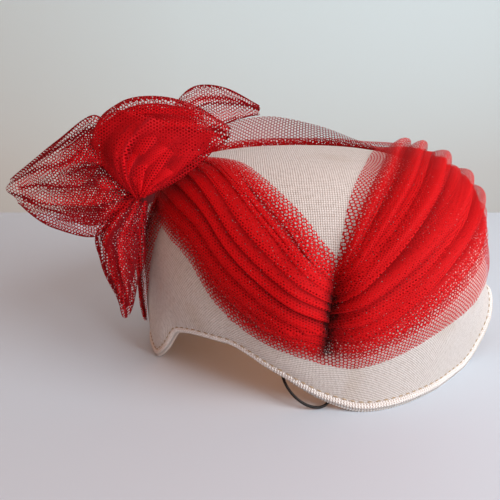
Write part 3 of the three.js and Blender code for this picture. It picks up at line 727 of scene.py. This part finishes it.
# %% Layers of the swathes
# lower border, upper border, folds, their depth, lift, overlap of a fold, seed, stitched end
LAYERS = {
    "tulle_swathe_front": [
        ([0, 0], [1, 1], 1, [0.4, 0.4], 0.4, 0.0, 3, 1),
        ([0.06, 0.06], [0.96, 0.94], 6, [0.9, 1.4], 0.8, 1.2, 11, 1),
        ([0.1, 0.1], [0.92, 0.88], 6, [1.1, 1.7], 1.2, 1.5, 11, 1),
        ([0.15, 0.17], [0.87, 0.79], 6, [1.3, 1.9], 1.7, 1.6, 11, 1),
        ([0.18, 0.21], [0.82, 0.75], 6, [1.4, 2.0], 2.1, 1.5, 11, 1),
    ],
    "tulle_swathe_side": [
        ([0, 0], [1, 1], 1, [0.4, 0.4], 0.4, 0.0, 5, 0),
        ([0.1, 0.24, 0.08], [0.93, 0.88, 0.64], 6, [1.4, 3.0, 3.6, 2.0], 0.8, 1.2, 12, 0),
        ([0.16, 0.3, 0.1], [0.9, 0.83, 0.6], 6, [1.7, 3.4, 3.8, 2.0], 1.2, 1.5, 12, 0),
        ([0.24, 0.38, 0.12], [0.86, 0.78, 0.56], 6, [1.9, 3.8, 4.0, 2.0], 1.7, 1.6, 12, 0),
        ([0.28, 0.41, 0.13], [0.82, 0.75, 0.5], 6, [2.0, 4.0, 4.2, 2.0], 2.2, 1.5, 12, 0),
        ([0.34, 0.3, 0.12], [0.92, 0.88, 0.56], 5, [0.8, 7.0, 6.5, 1.6], 2.4, 0.3, 12, 0),
    ],
    "tulle_tail_side": [
        ([0, 0], [1, 1], 2, [1.2, 1.2], 0.6, 1.5, 9, None),
        ([0.1, 0.1], [0.9, 0.9], 2, [1.6, 1.6], 0.9, 1.5, 10, None),
        ([0.2, 0.2], [0.9, 0.9], 2, [1.8, 1.8], 1.2, 1.5, 13, None),
    ],
}
GATHERED = (0.0, 0.0, 0.05, 0.32, 0.05, 0.0)  # thread added by the gathers, layer by layer
BACK_GATHERED = 0.25  # thread added towards the back, where the strip gets narrow
TIGHTNESS = (0.8, 0.9, 1.05, 1.3, 1.15, 1.5)  # how much the gathers squeeze the cells of the net
print("layers", {name: len(layers) for name, layers in LAYERS.items()})

# %% Swathes
SIDE_ROWS = STATION_ROWS * 7  # rows of the long strip up to where the CAD's side swathe ends
SWATHE_CUT, TAIL_CUT = 0.3, 0.02  # widths in m of the strips before they were gathered
for name, layers in LAYERS.items():
    strips = [strip_grid(SWATHES[name], *layer) for layer in layers]
    for (_, _, crease, _), more in zip(strips, GATHERED):
        to_the_back = np.clip((np.arange(len(crease)) - SIDE_ROWS + 30) / 40, 0, 1)[:, None]
        crease += more + BACK_GATHERED * to_the_back * (more > 0)
    net, cut = (shaded_bow_tulle, TAIL_CUT) if name == "tulle_tail_side" else (veil_tulle, SWATHE_CUT)
    if name == "tulle_swathe_side":
        back = [[values[SIDE_ROWS:] for values in strip] for strip in strips]
        strips = [[values[: SIDE_ROWS + 1] for values in strip] for strip in strips]
        tulle_piece("swathe_back_net", back, TIGHTNESS, net, "tulle_swathe_back", cut)
    tulle_piece(name.replace("tulle_", "") + "_net", strips, TIGHTNESS, net, name, cut)

# %% [markdown]
# The bow is one long strip, folded into loops and gathered in its middle. A loop is a flat tube
# of net, closed at its tip. Its two edges are folds, where the net is seen edge on: more thread
# draws a line there, and painted shade makes it dark. Gathers fan out from the knot and lap over
# each other before they die away, with painted shade in their valleys and painted highlight on
# their ridges. Smaller layers inside a loop make its root dense and leave its rim sheer. The loops
# have a darker copy of the net, painted shade; the puff and the fold before it have a brighter one,
# painted light where they catch the most light.

# %% Outlines of the loops
BOW_SPAN = 70.0
KNOT = np.array([-0.456 * LENGTH, -0.226 * WIDTH, 0.882 * HEIGHT])
# layers: how much narrower and shorter a layer is, its creases, the thread added by its gathers
# outline: right and up of one edge, right and up of the other one, as shares of BOW_SPAN
LOOPS = {
    "bow_loop_left": {
        "tilt": 12, "forward": 0.02, "tip_forward": 0.02, "bulge": 0.13, "gathers": 3,
        "layers": [(0.0, 0.0, 5, 0.0), (0.22, 0.4, 4, 0.3)],
        "outline": [
            (-0.04, 0.08, -0.04, -0.06), (-0.17, 0.36, -0.2, -0.2), (-0.31, 0.52, -0.36, -0.33),
            (-0.58, 0.35, -0.62, -0.27), (-0.8, 0.19, -0.78, -0.18), (-0.93, 0.08, -0.88, -0.09),
        ],
    },
    "bow_loop_low": {
        "tilt": 0, "forward": 0.02, "tip_forward": 0.16, "bulge": 0.1, "gathers": 3,
        "layers": [(0.0, 0.0, 4, 0.0), (0.4, 0.15, 3, 0.3)],
        "outline": [
            (0.04, -0.02, -0.1, -0.02), (0.0, -0.3, -0.34, -0.28), (-0.02, -0.5, -0.34, -0.48),
            (-0.06, -0.7, -0.26, -0.66), (-0.12, -0.88, -0.18, -0.86),
        ],
    },
    "bow_puff_top": {
        "tilt": 25, "forward": 0.12, "tip_forward": 0.16, "bulge": 0.13, "gathers": 4,
        "layers": [(0.0, 0.0, 4, 0.0), (0.26, 0.16, 2, 0.4), (0.38, 0.22, 2, 0.7)],
        "outline": [
            (-0.04, 0.06, 0.06, 0.04), (-0.3, 0.4, 0.12, 0.16), (-0.14, 0.58, 0.24, 0.2),
            (0.12, 0.62, 0.36, 0.2), (0.36, 0.57, 0.48, 0.24), (0.62, 0.4, 0.6, 0.31),
        ],
    },
    "bow_fold_front": {
        "tilt": 10, "forward": 0.13, "tip_forward": 0.2, "bulge": 0.06, "gathers": 4,
        "layers": [(0.0, 0.0, 2, 0.15), (0.15, 0.05, 2, 0.45), (0.25, 0.1, 0, 0.8)],
        "outline": [
            (-0.05, -0.03, 0.05, -0.03), (-0.22, 0.14, 0.22, 0.06), (-0.3, 0.32, 0.4, 0.18),
            (-0.24, 0.46, 0.52, 0.28), (-0.12, 0.54, 0.56, 0.38),
        ],
    },
    "bow_loop_right": {
        "tilt": 25, "forward": -0.12, "tip_forward": -0.42, "bulge": 0.06, "gathers": 2,
        "layers": [(0.0, 0.0, 3, -0.03)],
        "outline": [
            (0.03, 0.12, 0.1, 0.09), (0.14, 0.62, 0.22, 0.36), (0.29, 0.86, 0.4, 0.48),
            (0.57, 0.87, 0.58, 0.6), (0.83, 0.78, 0.8, 0.7),
        ],
    },
}
print("loops", list(LOOPS))


# %% One layer of a loop
def loop_grid(loop, narrow, short, creases, gathered, seed, steps=90, columns=130):
    """Front and back of one layer of a loop: points, painted shade and light of the folds, thread in the
    creases, UV.
    """
    lean = math.radians(loop["tilt"])
    up = np.array([0, math.sin(lean), math.cos(lean)])
    ahead = np.array([0, -math.cos(lean), math.sin(lean)])
    out = np.linspace(0, 1, steps)[:, None]
    halves = [np.linspace(start, start + math.pi, columns // 2) for start in (0, math.pi)]
    turn = np.concatenate(halves)[None, :]
    lap, face = 0.5 + 0.5 * np.cos(turn), np.sin(turn)
    calm = np.clip(1 - out / 0.75, 0, 1) ** 0.7
    theta = 2 * math.pi * loop["gathers"] * lap + 2.2 * ripple(4, seed, 0.9)(out, 0.35 * np.sign(face))
    inner = np.sin(math.pi * lap) ** 0.7
    side = lap + 1.5 * calm * inner * np.sin(theta) / (2 * math.pi * loop["gathers"])
    side = 0.5 + (side - 0.5) * (1 - narrow * np.minimum(out * 2, 1))
    eased = (out * (1 - 0.25 * out) / 0.75) * (1 - short) + 0 * turn
    edges = [between([row[k] for row in loop["outline"]], eased) * BOW_SPAN for k in range(4)]
    wide = np.hypot(edges[0] - edges[2], edges[1] - edges[3])
    near, ridge = 0 * eased, 0 * eased
    rng = np.random.default_rng(seed + 7)
    for number in range(creases):
        at = (number + rng.uniform(0.25, 0.75)) / creases + rng.uniform(-0.3, 0.3) * (out - 0.3)
        away = (lap - at) * wide
        on_face = np.sign(face) == (1 if number % 2 else -1)
        height = rng.uniform(3.0, 5.5) * np.minimum(out * 2.5, 1)
        ridge = ridge + on_face * height * np.clip(1 - np.abs(away) / 8, 0, 1) * inner
        near = np.maximum(near, on_face * np.exp(-((away / 0.6) ** 2)) * np.minimum(out * 4, 1))
    near = np.maximum(near, np.exp(-(((0.5 - np.abs(lap - 0.5)) * wide / 0.4) ** 2)))
    plump = np.sin(math.pi * np.clip(eased, 0, 1)) ** 0.6 * loop["bulge"] * BOW_SPAN * (1 - narrow)
    gathers = 1.6 * (0.5 - 0.5 * np.sin(theta)) * calm * inner * np.sign(face)
    crumple = 1.0 * ripple(9, seed + 1, 2.4)(out, lap) * np.minimum(out * 3, 1)
    ragged = ripple(8, seed + 3, 2.0)(out, lap) * 0.8 * np.minimum(out * 3, 1)
    right = edges[2] + (edges[0] - edges[2]) * side + ragged
    high = edges[3] + (edges[1] - edges[3]) * side + ragged[::-1]
    forward = (loop["forward"] + (loop["tip_forward"] - loop["forward"]) * eased) * BOW_SPAN
    deep = forward + plump * face + gathers + crumple + ridge * np.sign(face)
    grid = KNOT + right[..., None] * np.array([1.0, 0, 0]) + high[..., None] * up + deep[..., None] * ahead
    # Painted shade in the valleys of the gathers and along the edge folds, painted highlight on the ridges.
    fold = 0.5 - 0.5 * np.sin(theta) * calm * inner - 0.5 * near
    flat = np.stack([right, high], -1)
    front, back = np.s_[:, : columns // 2], np.s_[:, columns // 2 :]
    near = near + gathered - (short > 0) * 0.45 * np.clip((out - 0.55) / 0.45, 0, 1)
    cuts = ((front, 0, 0), (back, 34, 0.06))
    return [(grid[cut], fold[cut], near[cut] - less, rotated(flat[cut], angle)) for cut, angle, less in cuts]


print("knot in the part's frame in m", to_part(KNOT).round(4))

# %% Bow
BOW_CUT = 0.15  # width in m of the strip before it was gathered
BOW_TIGHTNESS = [1.0, 0.95, 1.1, 1.2, 1.3, 1.4]
for number, (name, loop) in enumerate(LOOPS.items()):
    layers = []
    for k, size in enumerate(loop["layers"]):
        layers += loop_grid(loop, *size, 40 + 10 * number + k)
    node = "bow_puff_top" if name == "bow_fold_front" else name
    # The puff and the fold before it get the net with painted light, the other loops the one with painted
    # shade.
    net = lit_puff_tulle if node == "bow_puff_top" else shaded_bow_tulle
    tulle_piece(name + "_net", layers, BOW_TIGHTNESS, net, node, BOW_CUT)

# %% [markdown]
# The knot is a short band of the same tulle, pulled tight round the middle of the bow. Net that is
# crushed so much has no open cells left, so its material has no holes. Its dark red is painted
# shade, for the shadow in the pinch under the loops. The shape is a small ellipsoid with upright
# ribs that wander a little, closed at both poles.

# %% Knot
KNOT_WIDE, KNOT_DEEP, KNOT_TALL = 0.15, 0.14, 0.2  # shares of BOW_SPAN
turns, layers = 96, 28
side = np.linspace(0, 2 * math.pi, turns, endpoint=False)[:, None]
rise = np.linspace(0.02, math.pi - 0.02, layers)[None, :]
rib = 1 + 0.07 * np.cos(9 * side + 2.5 * np.cos(rise)) + 0.03 * ripple(6, 77, 3.0)(side / 6.3, rise / 3.1)
wide = np.sin(rise) ** 0.8 * rib * BOW_SPAN / 2
upright = -KNOT_TALL * BOW_SPAN / 2 * np.cos(rise) + 0 * side
knot_grid = np.stack([KNOT_WIDE * wide * np.cos(side), KNOT_DEEP * wide * np.sin(side), upright], -1) + KNOT
knot_faces = grid_faces(turns, layers, closed=True)
poles = np.array([knot_grid[:, 0].mean(0), knot_grid[:, -1].mean(0)])
count = turns * layers
knot_faces += [(count, (i + 1) % turns * layers, i * layers) for i in range(turns)]
last = layers - 1
knot_faces += [(count + 1, i * layers + last, (i + 1) % turns * layers + last) for i in range(turns)]
# The dark red is painted shade of the pinch under the loops; crushed net has no holes, so no alpha.
knot_painted_shade_tulle, _, _ = surface("red_tulle_knot_painted_shade", Base_Color=linear("5C0208"), Roughness=0.8)
knot = mesh_object("bow_knot_band", np.concatenate([knot_grid.reshape(-1, 3), poles]), knot_faces)
knot.data.materials.append(knot_painted_shade_tulle)
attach(knot, "root")
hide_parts("bow_knot")
print("knot faces", len(knot_faces))

# %% [markdown]
# The wire loop under the front edge is dark lacquered wire, bent to an oval. The lacquer is smooth
# but thin and a little dusty, so it is nearly black with a soft shine. The CAD solid has few sides,
# so a finer tube takes its place.

# %% Line of the wire loop
lacquer = {"Base_Color": linear("0A0605"), "Roughness": 0.45, "Specular_IOR_Level": 0.35}
pin_lacquer, _, _ = surface("dark_lacquered_wire", **lacquer)
WIRE, LONG, SHORT, ROLL = 1.4, 28.5, 19.0, math.radians(-55)
WIRE_LIFT = 0.4  # from the table to the underside of the wire
WIRE_STEPS, WIRE_SIDES = 120, 10
right, high = unit(np.array([0.965, 0.262, 0])), unit(np.array([-0.165, 0.608, 0.777]))
ahead = np.cross(high, right)
turn = np.linspace(0, 2 * math.pi, WIRE_STEPS, endpoint=False)


def oval(a):
    """Points of the wire's middle line at angles a, rolled in its plane."""
    along, across = np.cos(a) * LONG / 2, np.sin(a) * SHORT / 2
    to_right = along * math.cos(ROLL) - across * math.sin(ROLL)
    to_high = along * math.sin(ROLL) + across * math.cos(ROLL)
    return to_right[:, None] * right + to_high[:, None] * high


lowest = oval(turn)[:, 2].min()
centre = np.array([-0.058 * LENGTH, -0.459 * WIDTH, PRESSED + WIRE_LIFT + WIRE / 2 - lowest])
print("middle of the wire loop", centre.round(1))

# %% Wire loop
outward = np.cross(ahead, unit(oval(turn + 0.05) - oval(turn - 0.05)))
section = (np.arange(WIRE_SIDES) / WIRE_SIDES * 2 * math.pi)[None, :, None]
rim_out, rim_ahead = outward[:, None] * np.cos(section), ahead * np.sin(section)
wire_grid = (oval(turn) + centre)[:, None] + rim_out * WIRE / 2 + rim_ahead * WIRE / 2
wire = mesh_object("wire_loop", wire_grid.reshape(-1, 3), tube_faces(WIRE_STEPS, WIRE_SIDES))
wire.data.materials.append(pin_lacquer)
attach(wire, "root")
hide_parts("pin_loop")
print("wire faces", len(wire.data.polygons))

# %% [markdown]
# The studio is a plain pale floor that ends behind the hat and a pale wall some way beyond it. The
# wall's colour gets greyer to the right: painted shade that evens out the light, which is stronger
# there than to the left.

# %% Floor and wall
floor_paint, _, _ = surface("matte_pale_floor", Base_Color=linear("D0DDE7"), Roughness=0.9)
wall_paint, tree, shader = surface("matte_pale_wall", Roughness=0.9)
from_the_piece = add(tree, "ShaderNodeTexCoord").outputs["Object"]
across = add(tree, "ShaderNodeSeparateXYZ", {0: from_the_piece}).outputs[0]
# Painted shade: greyer to the right, where the window light is stronger.
painted_wall_shade = add(tree, "ShaderNodeMapRange", {0: across, 1: -0.1, 2: 0.5})
paint = blend(tree, painted_wall_shade.outputs[0], linear("E0FBFF"), linear("C8D9DB"))
tree.links.new(paint, shader.inputs["Base Color"])
SIDE, NEAR, FAR = 1200, -900, 262
WALL_AT, BELOW, ABOVE = 500, -400, 900
low = PRESSED - 0.01
floor_corners = [[x, y, low] for x, y in ((-SIDE, NEAR), (SIDE, NEAR), (SIDE, FAR), (-SIDE, FAR))]
wall_corners = [[x, WALL_AT, z] for x, z in ((-SIDE, BELOW), (SIDE, BELOW), (SIDE, ABOVE), (-SIDE, ABOVE))]
floor = mesh_object("studio_floor", floor_corners, [(0, 1, 2, 3)])
wall = mesh_object("studio_wall", wall_corners, [(0, 1, 2, 3)])
floor.data.materials.append(floor_paint)
wall.data.materials.append(wall_paint)
print("floor and wall staged")

# %% [markdown]
# The surround lights the shade. It is warm where it falls on the hat, because light that has been
# on the pale floor and in the straw comes back warm, and a neutral light grey where the camera
# sees it. Net that lies in many layers needs many transparent bounces, or it turns black.

# %% Surround
scene = bpy.context.scene
world = bpy.data.worlds.new("surround")
world.use_nodes = True
ambient = world.node_tree.nodes["Background"]
seen = add(world.node_tree, "ShaderNodeLightPath").outputs["Is Camera Ray"]
tint = blend(world.node_tree, seen, linear("E8A88C"), linear("E6E6E4"))
world.node_tree.links.new(tint, ambient.inputs["Color"])
ambient.inputs["Strength"].default_value = 0.49
scene.world = world
scene.view_settings.view_transform = "Standard"
scene.cycles.transparent_max_bounces = 64
print("surround strength", ambient.inputs["Strength"].default_value)

# %% [markdown]
# One large soft light stands to the right, in front and high, like a window, and makes the right
# half of the hat the bright one. A weak light from above opens the shade. A very weak orange one
# hangs in the hollow, for the light that soaks through the straw and warms the shadow under the
# raised edge.


# %% Lights
def soft_light(name, place, target, size, power, colour):
    """A large soft area light that looks at a target, both in mm."""
    data = bpy.data.lights.new(name, "AREA")
    data.shape = "RECTANGLE"
    data.size, data.size_y = size[0] / 1000, size[1] / 1000
    data.energy = power
    data.color = colour
    light = bpy.data.objects.new(name, data)
    light.location = to_part(place)
    way = to_part(target) - to_part(place)
    tip = math.atan2(math.hypot(way[0], way[1]), -way[2])
    light.rotation_euler = (tip, 0, math.atan2(way[1], way[0]) - math.pi / 2)
    scene.collection.objects.link(light)
    print(name, power, "W")


soft_light("window_light", (680, -450, 500), (0, 40, 40), (650, 650), 9.5, (0.95, 1.0, 1.05))
soft_light("light_through_the_straw", (10, 0, 70), (10, 0, 0), (110, 80), 0.03, (1.0, 0.45, 0.25))
soft_light("ceiling_light", (-100, 100, 900), (0, 0, 0), (1200, 1200), 1.2, (1.0, 0.98, 1.0))

# %% [markdown]
# The camera stands close to the hat, a bit to its left, and looks down by 20 degrees. Close up, the
# front lobe looks larger than the back, which a long lens from far away would lose.

# %% Camera
CAMERA_AT, LOOKS_DOWN, SENSOR, LENS = (-38.8, -287.5, 157.3), 20, 36, 37.44
camera_data = bpy.data.cameras.new("camera")
camera_data.sensor_width = SENSOR
camera_data.lens = LENS
camera_data.clip_start = 0.01
camera = bpy.data.objects.new("camera", camera_data)
camera.location = to_part(CAMERA_AT)
camera.rotation_euler = (math.radians(90 - LOOKS_DOWN), 0, 0)
scene.collection.objects.link(camera)
scene.camera = camera
print("camera at", [round(value, 4) for value in camera.location])
